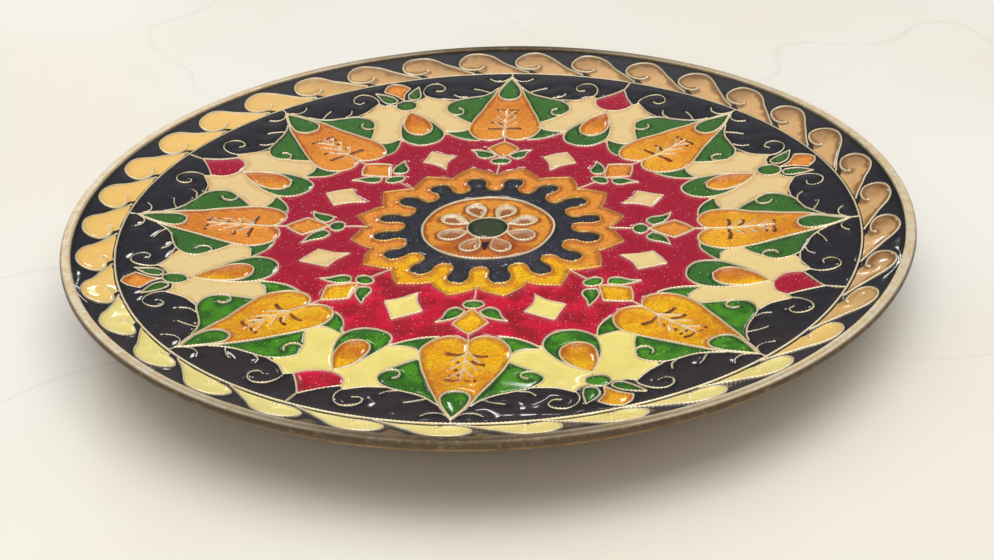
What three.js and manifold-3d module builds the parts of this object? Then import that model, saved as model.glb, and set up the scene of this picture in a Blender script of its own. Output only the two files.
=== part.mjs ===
// A round cloisonne plate: a spun metal dish with a rim ring and a foot ring,
// filled with enamel cells. Millimetres, +Z up, the table at z = 0.
// Seen from above, +Y is the axis of the first heart and angles run clockwise.
import * as THREE from 'three';
import Module from 'manifold-3d';

const wasm = await Module();
wasm.setup();
const { Manifold, CrossSection } = wasm;

// Driving sizes
const plateRadius = 100;          // outside of the rim ring
const plateHeight = 20;           // table to the top of the rim ring
const rimBandWidth = 12;          // border wire to the outside of the rim ring
const rimRise = 3.9;              // border wire up to the top of the rim ring
const wellDepth = 3.5;            // border wire down to the wires on the floor
const floorRadius = 50;           // flat part of the well
const wallCurve = 1.65;           // power of the well wall's rise
const sheetThickness = 1.4;       // metal of the dish
const enamelThickness = 1.0;
const wireProud = 0.4;            // wires above the enamel
const wireWidth = 0.8;            // room left between two cells for their wire
const seatGap = 0.3;              // clearance between neighbouring solids
const lipWidth = 2.5;             // rim ring, across
const lipHeight = 2.1;            // rim ring, top to bottom
const lipRise = 0.6;              // wires beside the rim ring up to its top
const lipRound = 0.7;             // rounding of the rim ring's edges
const footOuter = 52;             // foot ring, outside of its wall
const footWall = 1.8;             // foot ring, thickness of its wall
const footFlare = 1.2;            // how far the foot's tread spreads
const treadHeight = 1.6;          // height of the foot's spread tread
const borderWidth = 1.0;          // border wire, across
const borderHeight = 1.7;         // border wire, top to bottom
const dropCount = 35;             // cream drops round the rim band
const dropStart = 0.52;           // first drop, in pitches clockwise from the first heart
const dropMargin = 1.0;           // ground left between the drops and the rim ring
const sectorCount = 8;            // hearts
const knobCount = 16;             // knobs and scallops of the amber ring
const facets = 64;                // straight sides of every turned piece
const centreFacets = 24;          // straight sides of the small centre disc
const wallSteps = 2;              // straight steps of the well wall
const outlineTolerance = 0.16;    // how far a cell outline may stray from its curve
const mergeTolerance = 0.01;      // points nearer than this to a straight line are merged
const miterLimit = 2;             // longest corner of an inset outline, in insets

// Levels and radii that follow from them
const borderRadius = plateRadius - rimBandWidth;
const borderTop = plateHeight - rimRise;
const lipInner = plateRadius - lipWidth;
const enamelTop = -wireProud;
const enamelBottom = enamelTop - enamelThickness;
const sheetTop = enamelBottom - seatGap;
const sheetBottom = sheetTop - sheetThickness;
const rimSlope = (rimRise - lipRise) / (lipInner - borderRadius);
const halfWire = wireWidth / 2;
const sectorAngle = (2 * Math.PI) / sectorCount;

// The ornament was drawn for a border circle of this radius and is scaled to the real one.
const drawnBorder = 88;
const drawnMedallion = 16.4;      // edge of the medallion
const drawnCentre = 5.2;          // edge of the centre disc
const drawnCrimson = 58;          // hidden outer edge of the crimson, under the hearts
const drawnGround = 70;           // hidden inner edge of the dark ground
const drawnScale = borderRadius / drawnBorder;

// Height of the wire tops above the table at a distance from the plate's axis
function surfaceHeight(radius) {
  if (radius <= floorRadius) {
    return borderTop - wellDepth;
  }
  if (radius <= borderRadius) {
    const rise = (radius - floorRadius) / (borderRadius - floorRadius);
    return borderTop - wellDepth * (1 - rise ** wallCurve);
  }
  return borderTop + rimSlope * (radius - borderRadius);
}

// Radii at which the turned surfaces have an edge
const wallRadii = [];
for (let i = 0; i <= wallSteps; i += 1) {
  wallRadii.push(floorRadius + ((borderRadius - floorRadius) * i) / wallSteps);
}

// A closed profile between two levels that follow the dish, turned about the axis
function dishProfile(topOffset, bottomOffset, outerRadius) {
  const radii = [0, ...wallRadii.filter((r) => r < outerRadius), outerRadius];
  const top = radii.map((r) => new THREE.Vector2(r, surfaceHeight(r) + topOffset));
  const bottom = radii.map((r) => new THREE.Vector2(r, surfaceHeight(r) + bottomOffset));
  return [...bottom, ...top.reverse()];
}

function turned(profile) {
  const section = CrossSection.ofPolygons([profile.map((p) => [p.x, p.y])]);
  return Manifold.revolve(section, facets);
}

// The layer of space that the enamel fills
const enamelShell = turned(dishProfile(enamelTop, enamelBottom, lipInner - seatGap));

// Outlines are lists of stretches; each stretch is a smooth curve through its points,
// and the outline has a corner where two stretches meet.
function sampled(stretches, perSpan) {
  const points = [];
  for (const stretch of stretches) {
    const curve = new THREE.SplineCurve(stretch.map(([x, y]) => new THREE.Vector2(x, y)));
    const samples = curve.getPoints(Math.max(1, Math.round((stretch.length - 1) * perSpan)));
    points.push(...samples.slice(0, -1).map((p) => [p.x, p.y]));
  }
  const last = stretches.at(-1).at(-1);
  points.push(last);
  return points;
}

// Closed region of an outline given from its lower axis point to its upper one on the +X side
function mirroredRegion(stretches, perSpan = 1.5) {
  const right = sampled(stretches, perSpan);
  const left = right.slice(1, -1).map(([x, y]) => [-x, y]).reverse();
  return region([...right, ...left]);
}

function region(points) {
  const scaled = points.map(([x, y]) => [x * drawnScale, y * drawnScale]);
  return CrossSection.ofPolygons([scaled], 'NonZero');
}

function disc(radius, sides = facets) {
  const points = [];
  for (let i = 0; i < sides; i += 1) {
    const angle = (2 * Math.PI * i) / sides;
    points.push([radius * Math.cos(angle), radius * Math.sin(angle)]);
  }
  return CrossSection.ofPolygons([points]);
}

function union(sections) {
  return CrossSection.union(sections);
}

// Turned clockwise by a share of the sector angle
function clockwise(section, sectors) {
  return section.rotate((-sectors * 360) / sectorCount);
}

function allRound(section, count, offset = 0) {
  const copies = [];
  for (let i = 0; i < count; i += 1) {
    copies.push(section.rotate((-(i + offset) * 360) / count));
  }
  return union(copies);
}

// The largest piece of a region; slivers beside it are not cells
function largest(section) {
  const pieces = section.decompose();
  return pieces.reduce((best, piece) => (piece.area() > best.area() ? piece : best));
}

// A cell is a region less its share of the wire round it
function cellSection(section) {
  const inset = section.offset(-halfWire, 'Miter', miterLimit);
  return largest(inset.simplify(outlineTolerance));
}

// The solid of a cell: its outline carried through the enamel layer
function enamelSolid(section) {
  const prism = cellSection(section).extrude(plateHeight);
  return Manifold.intersection(prism, enamelShell).simplify(mergeTolerance);
}

// Ornament outlines in millimetres, drawn for the border circle above.
// Heart motifs have the heart's axis on +Y, bud motifs the axis between two hearts.
const heartHalf = [
  [[0, 52.6], [1.7, 50.8], [4.6, 50.0], [7.7, 51.5], [9.6, 54.7], [9.9, 58.2], [8.8, 62.8],
    [6.7, 69.2], [4.8, 75.2], [2.9, 80.6], [0, 86.0]],
];
const tipArcHalf = [
  [[0, 73.6], [1.9, 74.1], [3.3, 75.4], [6.0, 77.0]],
  [[6.0, 77.0], [6.0, 90.0]],
  [[6.0, 90.0], [0, 90.0]],
];
const collarHalf = [
  [[0, 60.4], [9.9, 60.4]],
  [[9.9, 60.4], [12.6, 62.6], [15.2, 65.2], [16.8, 67.6], [16.4, 70.3], [14.2, 72.9],
    [11.0, 74.4], [7.8, 75.8], [5.3, 77.9], [2.9, 80.6], [0, 86.0]],
];
const budHalf = [
  [[0, 51.1], [2.9, 51.9], [4.9, 54.1], [5.7, 57.0], [5.3, 60.4], [4.4, 63.6], [2.9, 67.0],
    [0, 70.6]],
];
const fruitHalf = [
  [[0, 72.3], [2.7, 72.9], [4.7, 74.3], [5.7, 76.7]],
  [[5.7, 76.7], [3.6, 78.9], [1.7, 81.2], [0, 83.6]],
];
const lozengeHalf = [
  [[0, 77.7], [1.2, 80.6], [3.8, 83.5]],
  [[3.8, 83.5], [2.2, 85.4], [0, 86.1]],
];
const lowerLeafHalf = [
  [[0, 72.3], [1.9, 72.9], [2.9, 74.9], [2.2, 76.9], [0, 78.5]],
];
const sideLeafHalf = [
  [[0, 80.4], [1.0, 78.4]],
  [[1.0, 78.4], [2.6, 77.2], [4.4, 77.3], [5.6, 79.4], [6.4, 83.6]],
  [[6.4, 83.6], [4.2, 82.2], [2.4, 80.6], [0, 80.4]],
];
const limbHalf = [
  [[0, 58.0], [5.9, 56.9]],
  [[5.9, 56.9], [9.6, 56.2], [11.6, 56.9], [12.9, 58.0], [13.3, 59.9]],
  [[13.3, 59.9], [15.5, 64.0], [15.5, 70.0], [13.0, 73.2]],
  [[13.0, 73.2], [10.8, 74.4], [8.8, 76.1], [7.0, 78.0]],
  [[7.0, 78.0], [4.8, 76.4], [0, 76.4]],
];
const starHalf = [
  [[0, 34.6], [1.2, 38.6], [4.4, 41.0]],
  [[4.4, 41.0], [1.9, 43.0], [0, 46.2]],
];
const tulipHalf = [
  [[0, 28.0], [1.0, 29.0], [0.9, 35.2], [2.7, 37.0], [6.0, 39.4], [8.2, 44.0]],
  [[8.2, 44.0], [3.6, 42.8], [4.3, 44.7], [0, 49.2]],
];
const scallopHalf = [
  [[0, 28.7], [2.9, 30.9], [6.4, 32.6]],
];
const keyholeHalf = [
  [[0, 20.2], [2.1, 21.4], [2.1, 24.0], [3.2, 26.4], [5.35, 27.0]],
];
const medallionRadius = drawnMedallion * drawnScale;
const centreRadius = drawnCentre * drawnScale;

// One drop of the rim band: across in shares of the drops' pitch, up in shares of the band
const dropOutline = [
  [0.05, 0.0], [-0.22, 0.14], [-0.31, 0.45], [-0.2, 0.77], [0.04, 0.87], [0.24, 0.74],
  [0.5, 0.4], [0.8, 0.07],
];

// Outline made of a half pitch repeated and mirrored round the axis
function repeatedRing(halfStretches, count, perSpan) {
  const half = sampled(halfStretches, perSpan);
  const pitch = (2 * Math.PI) / count;
  const points = [];
  for (let i = 0; i < count; i += 1) {
    for (const [side, list] of [[-1, half.slice(1).reverse()], [1, half.slice(0, -1)]]) {
      for (const [x, y] of list) {
        const angle = i * pitch + side * Math.atan2(x, y);
        const radius = Math.hypot(x, y);
        points.push([radius * Math.sin(angle), radius * Math.cos(angle)]);
      }
    }
  }
  return region(points.reverse());
}

// All drops and the thin strip along the border wire that joins them
function dropRing() {
  const inner = borderRadius + halfWire;
  const band = lipInner - dropMargin - inner;
  const pitch = (2 * Math.PI) / dropCount;
  const strip = disc(inner + 3 * halfWire).subtract(disc(inner));
  const drops = [strip];
  for (let i = 0; i < dropCount; i += 1) {
    const points = dropOutline.map(([across, up]) => {
      const angle = (i + dropStart + across) * pitch;
      const radius = inner + halfWire + up * band;
      return [radius * Math.sin(angle), radius * Math.cos(angle)];
    });
    drops.push(CrossSection.ofPolygons([points], 'NonZero').simplify(mergeTolerance));
  }
  return union(drops);
}

// Regions of the ornament
const heart = mirroredRegion(heartHalf);
const tipArea = mirroredRegion(tipArcHalf);
const collar = mirroredRegion(collarHalf);
const bud = mirroredRegion(budHalf);
const fruit = mirroredRegion(fruitHalf);
const lozenge = mirroredRegion(lozengeHalf);
const leaves = union([mirroredRegion(lowerLeafHalf), mirroredRegion(sideLeafHalf)]);
const flower = union([lozenge, leaves]);
const limbs = mirroredRegion(limbHalf, 1);
const star = mirroredRegion(starHalf, 1);
const tulip = mirroredRegion(tulipHalf, 1);
const scallops = repeatedRing(scallopHalf, knobCount, 1);
const keyholes = repeatedRing(keyholeHalf, knobCount, 1);
const drops = dropRing();

const heartBody = heart.subtract(tipArea);
const collarBody = collar.subtract(heartBody);
const wings = union([clockwise(collar, -0.5), clockwise(collar, 0.5)]);
const hearts = union([clockwise(heart, -0.5), clockwise(heart, 0.5)]);

function scrollRegion(motif) {
  return limbs.subtract(union([bud, motif, wings, hearts]));
}

const half = sectorCount / 2;
const allMotifs = union([
  allRound(union([heart, collar]), sectorCount),
  allRound(union([bud, limbs]), sectorCount, 0.5),
  allRound(fruit, half, 0.25),
  allRound(flower, half, 0.75),
]);
const wellDisc = disc(borderRadius + halfWire - borderWidth);
const darkRegion = wellDisc.subtract(union([allMotifs, disc(drawnGround * drawnScale)]));
const rosette = union([scallops, allRound(tulip, sectorCount)]);
const stars = allRound(star, sectorCount, 0.5);
const crimsonRegion = disc(drawnCrimson * drawnScale)
  .subtract(union([allMotifs, rosette, stars]));
const amberRegion = rosette.subtract(keyholes);
const darkRingRegion = keyholes.subtract(disc(medallionRadius));
const centreRegion = disc(centreRadius, centreFacets);
const medallionRegion = disc(medallionRadius).subtract(centreRegion);
const rimRegion = disc(lipInner - seatGap + halfWire)
  .subtract(disc(borderRadius + borderWidth / 2));
const rimGroundRegion = rimRegion.subtract(drops);

// Materials
const finishes = {
  dish_metal: { color: 0xa98b5e, roughness: 0.5, metalness: 1 },
  rim_metal: { color: 0xb99b6b, roughness: 0.42, metalness: 1 },
  wire_metal: { color: 0xe0c896, roughness: 0.35, metalness: 1 },
  dark_enamel: { color: 0x2a2630, roughness: 0.1, metalness: 0 },
  cream_enamel: { color: 0xefd98c, roughness: 0.15, metalness: 0 },
  amber_enamel: { color: 0xeb9c1c, roughness: 0.15, metalness: 0 },
  green_enamel: { color: 0x2f7a2b, roughness: 0.12, metalness: 0 },
  crimson_enamel: { color: 0xab1741, roughness: 0.12, metalness: 0 },
};
const materials = {};
for (const [name, values] of Object.entries(finishes)) {
  materials[name] = new THREE.MeshStandardMaterial({ name, ...values });
}

const plate = new THREE.Group();

function geometryOf(solid) {
  const mesh = solid.getMesh();
  const geometry = new THREE.BufferGeometry();
  geometry.setAttribute('position', new THREE.BufferAttribute(mesh.vertProperties, 3));
  geometry.setIndex(new THREE.BufferAttribute(mesh.triVerts, 1));
  geometry.computeVertexNormals();
  return geometry;
}

function addMesh(name, geometry, material, sectors = 0) {
  const mesh = new THREE.Mesh(geometry, materials[material]);
  mesh.name = name;
  mesh.rotation.z = -sectors * sectorAngle;
  plate.add(mesh);
  return mesh;
}

function addRound(name, section, material, count, offset = 0) {
  const geometry = geometryOf(enamelSolid(section));
  for (let i = 0; i < count; i += 1) {
    addMesh(`${name}_${i + 1}`, geometry, material, ((i + offset) * sectorCount) / count);
  }
}

function addEnamel(name, section, material) {
  addMesh(name, geometryOf(enamelSolid(section)), material);
}

// A lathe turns its profile about Y; the quarter turn puts that axis upright
function addTurned(name, profile, material) {
  const geometry = new THREE.LatheGeometry(profile, facets);
  geometry.rotateX(Math.PI / 2);
  addMesh(name, geometry, material);
}

function points(pairs) {
  return pairs.map(([x, y]) => new THREE.Vector2(x, y));
}

// Spun dish: floor, wall, rim band and a flat seat under the rim ring
function dishPoints() {
  const seatHeight = plateHeight - lipHeight - seatGap;
  const seatInner = lipInner - seatGap;
  const seatOuter = plateRadius - lipRound;
  const radii = [0, ...wallRadii];
  const top = radii.map((r) => [r, surfaceHeight(r) + sheetTop]);
  top.push([seatInner, seatHeight]);
  top.push([seatOuter, seatHeight]);
  const bottom = radii.map((r) => [r, surfaceHeight(r) + sheetBottom]);
  bottom.push([seatOuter, seatHeight - sheetThickness]);
  return points([...bottom, ...top.reverse()]);
}

// Rim ring with rounded edges
function rimPoints() {
  const bottom = plateHeight - lipHeight;
  const profile = [
    [lipInner, bottom],
    [plateRadius - lipRound, bottom],
    [plateRadius, bottom + lipRound],
    [plateRadius, plateHeight - lipRound],
    [plateRadius - lipRound, plateHeight],
    [lipInner + lipRound / 2, plateHeight],
    [lipInner, plateHeight - lipRound],
  ];
  return points([...profile, profile[0]]);
}

// Foot ring: a wall up to the dish and a spread tread on the table
function footPoints() {
  const top = surfaceHeight(0) + sheetBottom - seatGap;
  const inner = footOuter - footWall;
  const profile = [
    [inner, 0],
    [footOuter + footFlare, 0],
    [footOuter + footFlare, treadHeight / 2],
    [footOuter, treadHeight],
    [footOuter, Math.min(top, surfaceHeight(footOuter) + sheetBottom - seatGap)],
    [inner, top],
  ];
  return points([...profile, profile[0]]);
}

function borderPoints() {
  const inner = borderRadius - borderWidth / 2 + halfWire / 2;
  const outer = borderRadius + borderWidth / 2 - halfWire / 2;
  const top = borderTop;
  const bottom = top - borderHeight + wireProud;
  return points([[inner, bottom], [outer, bottom], [outer, top], [inner, top], [inner, bottom]]);
}

addTurned('dish', dishPoints(), 'dish_metal');
addTurned('rim_ring', rimPoints(), 'rim_metal');
addTurned('foot_ring', footPoints(), 'dish_metal');
addTurned('border_wire', borderPoints(), 'wire_metal');

addEnamel('rim_ground', rimGroundRegion, 'dark_enamel');
addEnamel('rim_drops', drops, 'cream_enamel');
addEnamel('dark_ground', darkRegion, 'dark_enamel');
addRound('heart', heartBody, 'amber_enamel', sectorCount);
addRound('heart_leaf', collarBody, 'green_enamel', sectorCount);
addRound('bud', bud, 'green_enamel', sectorCount, 0.5);
addRound('fruit', fruit, 'crimson_enamel', half, 0.25);
addRound('flower', flower, 'amber_enamel', half, 0.75);
addRound('fruit_scroll', scrollRegion(fruit), 'cream_enamel', half, 0.25);
addRound('flower_scroll', scrollRegion(flower), 'cream_enamel', half, 0.75);
addEnamel('crimson_ground', crimsonRegion, 'crimson_enamel');
addRound('star', star, 'cream_enamel', sectorCount, 0.5);
addEnamel('amber_ring', amberRegion, 'amber_enamel');
addEnamel('dark_ring', darkRingRegion, 'dark_enamel');
addEnamel('medallion', medallionRegion, 'amber_enamel');
addEnamel('centre', centreRegion, 'green_enamel');

export default plate;
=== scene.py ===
# Round enamelled metal plate: wire-edged cells of coloured enamel in a shallow metal dish.
# The plan is drawn in millimetres: +Y is the first heart's axis, +Z is up, and angles run
# clockwise seen from above. Meshes are turned into metres when they are made.
import math
import bpy
import numpy as np
from mathutils import Matrix, Vector


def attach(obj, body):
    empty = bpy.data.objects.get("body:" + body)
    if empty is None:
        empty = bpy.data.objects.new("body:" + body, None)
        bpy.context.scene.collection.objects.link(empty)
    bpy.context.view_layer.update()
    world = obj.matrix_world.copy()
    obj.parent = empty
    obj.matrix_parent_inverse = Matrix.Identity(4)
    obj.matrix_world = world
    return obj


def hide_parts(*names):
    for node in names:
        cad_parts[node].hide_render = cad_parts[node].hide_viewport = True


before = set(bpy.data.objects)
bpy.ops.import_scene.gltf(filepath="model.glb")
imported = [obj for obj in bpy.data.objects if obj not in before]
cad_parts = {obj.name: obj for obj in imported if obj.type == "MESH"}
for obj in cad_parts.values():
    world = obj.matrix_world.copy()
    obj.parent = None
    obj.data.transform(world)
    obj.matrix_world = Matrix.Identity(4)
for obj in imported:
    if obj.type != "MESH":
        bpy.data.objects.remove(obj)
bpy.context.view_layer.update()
scene = bpy.context.scene
print("frame loaded:", len(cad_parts), "nodes")

camera = {
    "lens": 58.544, "sensor": 36.0,    # mm, from the fitted focal length in pixels
    "azimuth": 5.871,          # degrees to the right of the first heart's axis
    "elevation": 27.189,
    "distance": 0.388287,      # m from the middle of the border circle
    "aimHeight": 0.0161,       # m, level of the border circle
    "roll": 2.4306, "tilt": 2.3629, "pan": 0.2449,   # degrees, the camera's own turn
    "near": 0.01, "far": 20.0,         # m, what it sees
}


def makeCamera(values):
    az, el = math.radians(values["azimuth"]), math.radians(values["elevation"])
    back = Vector((math.sin(az) * math.cos(el), -math.cos(az) * math.cos(el), math.sin(el)))
    right = Vector((math.cos(az), math.sin(az), 0))
    up = back.cross(right)
    view = Matrix((right, up, back))
    for axis, name in (("Y", "pan"), ("X", "tilt"), ("Z", "roll")):
        view = Matrix.Rotation(math.radians(values[name]), 3, axis) @ view
    data = bpy.data.cameras.new("camera")
    data.sensor_width, data.lens = values["sensor"], values["lens"]
    data.clip_start, data.clip_end = values["near"], values["far"]
    item = bpy.data.objects.new("camera", data)
    scene.collection.objects.link(item)
    place = Vector((0, 0, values["aimHeight"])) + back * values["distance"]
    item.matrix_world = Matrix.Translation(place) @ view.transposed().to_4x4()
    scene.camera = item


makeCamera(camera)

dish = {
    "borderRadius": 88.0, "borderLevel": 16.1,   # border circle and the height of its wire
    "floorRadius": 50.0, "wellDepth": 3.5, "wallCurve": 1.65,
    "rimSlope": 0.3474, "lipInner": 97.5,        # rim band, from the border wire to the lip
}
outlineStep = 0.5    # mm between the points of an outline


def levelAt(radius):
    # floor, then a wall that rises with the power wallCurve, then the straight slope of the rim band
    rise = np.clip((radius - dish["floorRadius"]) / (dish["borderRadius"] - dish["floorRadius"]), 0, 1)
    floor = dish["borderLevel"] - dish["wellDepth"]
    wall = dish["wellDepth"] * rise ** dish["wallCurve"]
    return floor + wall + dish["rimSlope"] * np.maximum(radius - dish["borderRadius"], 0)


def evenly(points, step):
    # the same line with points at equal distances of about step along it
    gaps = np.hypot(*np.diff(points, axis=0).T)
    along = np.concatenate([[0], np.cumsum(gaps)])
    count = max(1, int(round(along[-1] / step)))
    at = np.linspace(0, along[-1], count + 1)
    return np.stack([np.interp(at, along, points[:, 0]), np.interp(at, along, points[:, 1])], 1)


def curveThrough(points, step=outlineStep):
    # cubic spans through the points; at each point the line runs along the chord of its neighbours
    p = np.array(points, float)
    if len(p) == 2:
        return evenly(p, step)
    chord = np.empty_like(p)
    chord[1:-1] = (p[2:] - p[:-2]) / 2
    chord[0], chord[-1] = (p[1] - p[0]) / 2, (p[-1] - p[-2]) / 2
    span = np.diff(p, axis=0)
    reach = np.hypot(*span.T)[:, None]
    leave = chord[:-1] * np.minimum(1, reach / np.hypot(*chord[:-1].T)[:, None])
    arrive = chord[1:] * np.minimum(1, reach / np.hypot(*chord[1:].T)[:, None])
    t = np.linspace(0, 1, 17)[:-1][None, :, None]
    dense = ((2 * t**3 - 3 * t**2 + 1) * p[:-1, None] + (t**3 - 2 * t**2 + t) * leave[:, None]
             + (3 * t**2 - 2 * t**3) * p[1:, None] + (t**3 - t**2) * arrive[:, None])
    return evenly(np.concatenate([dense.reshape(-1, 2), p[-1:]]), step)


def lineThrough(stretches):
    # smooth stretches that meet in corners
    parts = [curveThrough(stretch) for stretch in stretches]
    return np.concatenate([part[:-1] for part in parts] + [parts[-1][-1:]])


def mirrored(stretches):
    # closed outline from its half on the +x side, given from the lower axis point to the upper
    right = lineThrough(stretches)
    return np.concatenate([right, (right[1:-1] * (-1, 1))[::-1]])


def closed(stretches):
    return lineThrough(stretches)[:-1]


def flipped(points):
    return (points * (-1, 1))[::-1]


def turned(points, degrees):
    # turned clockwise about the plate's axis
    c, s = math.cos(math.radians(degrees)), math.sin(math.radians(degrees))
    x, y = points[:, 0], points[:, 1]
    return np.stack([x * c + y * s, y * c - x * s], 1)


def loop(points):
    return np.concatenate([points, points[:1]])


# Ornament outlines in mm. Heart motifs stand on the heart's axis, bud motifs on the axis between hearts.
heart = mirrored([[(0, 52.6), (1.7, 50.8), (4.6, 50.0), (7.7, 51.5), (9.6, 54.7), (9.9, 58.2), (8.8, 62.8),
                   (6.7, 69.2), (4.8, 75.2), (2.9, 80.6), (0, 86.4)]])
heartTip = mirrored([[(0, 73.6), (1.9, 74.1), (3.2, 76.2), (2.8, 79.3), (1.5, 82.6), (0, 85.6)]])
wingEdge = curveThrough([(3.3, 80.3), (5.3, 77.9), (7.8, 75.8), (11, 74.4), (14.2, 72.9), (16.4, 70.3),
                         (16.8, 67.6), (15.2, 65.2), (12.6, 62.6), (9.9, 60.4)])[::-1]
wingInside = curveThrough([(3.3, 80.3), (4.0, 75.5), (6.0, 69.0), (8.2, 62.8), (9.9, 60.4)])
wing = np.concatenate([wingEdge, wingInside[1:-1]])
wingHook = curveThrough([(16.3, 66.6), (15.0, 65.1), (13.4, 64.9), (12.2, 66.0), (12.4, 67.7), (13.6, 68.4)])
crescentTop = curveThrough([(9.9, 57.6), (11.0, 56.2), (13.0, 55.3), (16.2, 54.9)])
crescentFoot = curveThrough([(16.2, 54.9), (13.3, 52.3), (10.2, 50.7), (6.9, 50.3)])
crescent = np.concatenate([crescentTop[:-1], crescentFoot[:-1],
                           curveThrough([(6.9, 50.3), (7.2, 52.0), (8.8, 55.0), (9.9, 57.6)])[:-1]])[::-1]
bud = mirrored([[(0, 51.1), (2.9, 51.9), (4.9, 54.1), (5.7, 57.0), (5.3, 60.4), (4.4, 63.6), (2.9, 67.0),
                 (0, 71.2)]])
seed = mirrored([[(0, 57.1), (2.2, 58.1), (3.5, 60.4), (3.6, 63.4), (2.8, 66.6), (1.3, 69.4), (0, 71.2)]])
fruit = mirrored([[(0, 72.0), (2.7, 72.7), (4.7, 74.3), (5.7, 76.7)], [(5.7, 76.7), (3.6, 78.9), (1.7, 81.2),
                                                                        (0, 83.6)]])
lozenge = mirrored([[(0, 77.7), (1.2, 80.6), (3.8, 83.5)], [(3.8, 83.5), (2.2, 86.0), (0, 87.2)]])
lowLeaf = mirrored([[(0, 72.2), (1.9, 72.8), (2.9, 74.8), (2.2, 76.9), (0, 77.9)]])
sideLeaf = closed([[(1.6, 78.4), (2.6, 77.2), (4.4, 77.3), (5.6, 79.4), (6.4, 83.6)],
                   [(6.4, 83.6), (4.2, 82.2), (2.4, 80.6), (1.6, 78.4)]])
limb = closed([[(0, 71.2), (0, 76.4)], [(0, 76.4), (-4.8, 76.6), (-7.0, 78.0)],
               [(-7.0, 78.0), (-8.8, 76.1), (-10.8, 74.4), (-13.4, 73.0)],
               [(-13.4, 73.0), (-13.0, 70.0), (-12.2, 66.5), (-13.6, 62.7), (-14.6, 59.3)],
               [(-14.6, 59.3), (-13.6, 56.0), (-9.2, 54.9), (-5.2, 55.6)],
               [(-5.2, 55.6), (-4.3, 60.4), (-3.4, 63.6), (-1.9, 67.0), (0, 71.2)]])
limbTop = lineThrough([[(-5.6, 76.7), (-7.0, 78.0)], [(-7.0, 78.0), (-8.8, 76.1), (-10.8, 74.4),
                                                      (-14.6, 72.8)]])
limbShoulder = curveThrough([(-5.6, 76.7), (-4.6, 76.4), (-2.6, 75.9)])
curl = curveThrough([(-6.8, 77.8), (-6.7, 80.2), (-8.0, 82.7), (-10.4, 83.8), (-12.6, 82.7), (-13.3, 80.6),
                     (-12.0, 79.1), (-10.4, 79.8)])
star = mirrored([[(0, 34.6), (1.8, 38.2), (4.6, 41.0)], [(4.6, 41.0), (2.5, 43.4), (0, 46.2)]])
tulipHead = mirrored([[(0, 38.8), (1.7, 41.0), (4.3, 44.7)], [(4.3, 44.7), (2.3, 47.2), (0, 49.4)]])
tulipLeaf = closed([[(1.7, 39.9), (3.8, 38.3), (5.8, 39.4), (6.8, 42.0), (8.2, 44.0)],
                    [(8.2, 44.0), (5.0, 43.2), (3.0, 42.0), (1.7, 39.9)]])
tulipFoot = mirrored([[(0, 35.0), (1.7, 35.4), (2.5, 36.9), (1.6, 38.3), (0, 38.9)]])
scallopHalf = [(0, 28.7), (1.5, 30.1), (3.7, 31.3), (6.4, 32.6)]
knobHalf = [(0, 20.2), (1.6, 20.8), (2.25, 22.4), (2.1, 23.9), (2.55, 25.5), (3.8, 26.9), (5.35, 26.9)]
fernStem = curveThrough([(0, 49.4), (0, 52.6), (0.1, 60.0), (0, 68.6)])
fernBarbs = [curveThrough([(0, foot), (0.45 * wide, foot + 1.9), (wide, foot + tall)])
             for foot, wide, tall in ((57.0, 3.1, 4.0), (60.4, 2.8, 4.0), (63.9, 2.3, 3.6))]
# brown strokes beside the fern's barbs: painted shadow of the barbs
fernStrokes = [curveThrough(points) for points in (
    [(0.5, 57.6), (2.6, 57.9), (4.8, 57.6)], [(1.1, 60.3), (2.6, 61.2), (4.2, 61.6)],
    [(1.0, 63.6), (2.2, 64.4), (3.6, 64.8)], [(0.3, 68.4), (1.8, 68.6), (3.1, 68.3)],
    [(0.5, 66.4), (2.6, 67.0)])]
whiskers = [curveThrough([(0.9, 84.9), (2.4, 83.6), (4.6, 83.7), (6.2, 85.0)]),
            curveThrough([(5.9, 77.5), (8.2, 78.7), (10.4, 79.4)]),
            curveThrough([(12.0, 74.2), (14.2, 74.6), (15.6, 76.0)])]

pitch = 45             # degrees from one heart to the next
scallopCount = 16      # scallops and knobs of the amber ring
dropCount = 35         # a drop's plan is drawn on this share of the circle
heartAngles = [pitch * i for i in range(8)]
budAngles = [pitch / 2 + pitch * i for i in range(8)]
fruitAngles, flowerAngles = budAngles[::2], budAngles[1::2]


def bothSides(lines):
    return [side for line in lines for side in (line, flipped(line))]


def repeatedRing(half, count):
    # half a pitch, mirrored and repeated round the axis into one closed outline
    points = curveThrough(half, 0.4)
    turn, radius = np.arctan2(points[:, 0], points[:, 1]), np.hypot(*points.T)
    pitch = 2 * math.pi / count
    turn = np.concatenate([turn, (pitch - turn)[::-1][1:-1]])
    radius = np.concatenate([radius, radius[::-1][1:-1]])
    turn = (np.arange(count)[:, None] * pitch + turn).ravel()
    radius = np.tile(radius, count)
    return np.stack([radius * np.sin(turn), radius * np.cos(turn)], 1)[::-1]


def circle(radius):
    count = int(round(2 * math.pi * radius / outlineStep))
    turn = np.arange(count) * 2 * math.pi / count
    return np.stack([radius * np.cos(turn), radius * np.sin(turn)], 1)


scallops = repeatedRing(scallopHalf, scallopCount)
knobs = repeatedRing(knobHalf, scallopCount)
medallionEdge = circle(16.0)
centreEdge = circle(5.0)
chip = closed([[(-0.8, 6.0), (0.2, 6.3), (0.9, 6.8), (0.7, 9.0), (0.1, 10.6), (-0.5, 9.2), (-0.8, 6.0)]])
petal = closed([[(0, 5.2), (1.5, 7.2), (2.4, 9.6), (1.6, 11.8), (0, 12.5), (-1.6, 11.8), (-2.4, 9.6),
                 (-1.5, 7.2),
                 (0, 5.2)]])


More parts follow.
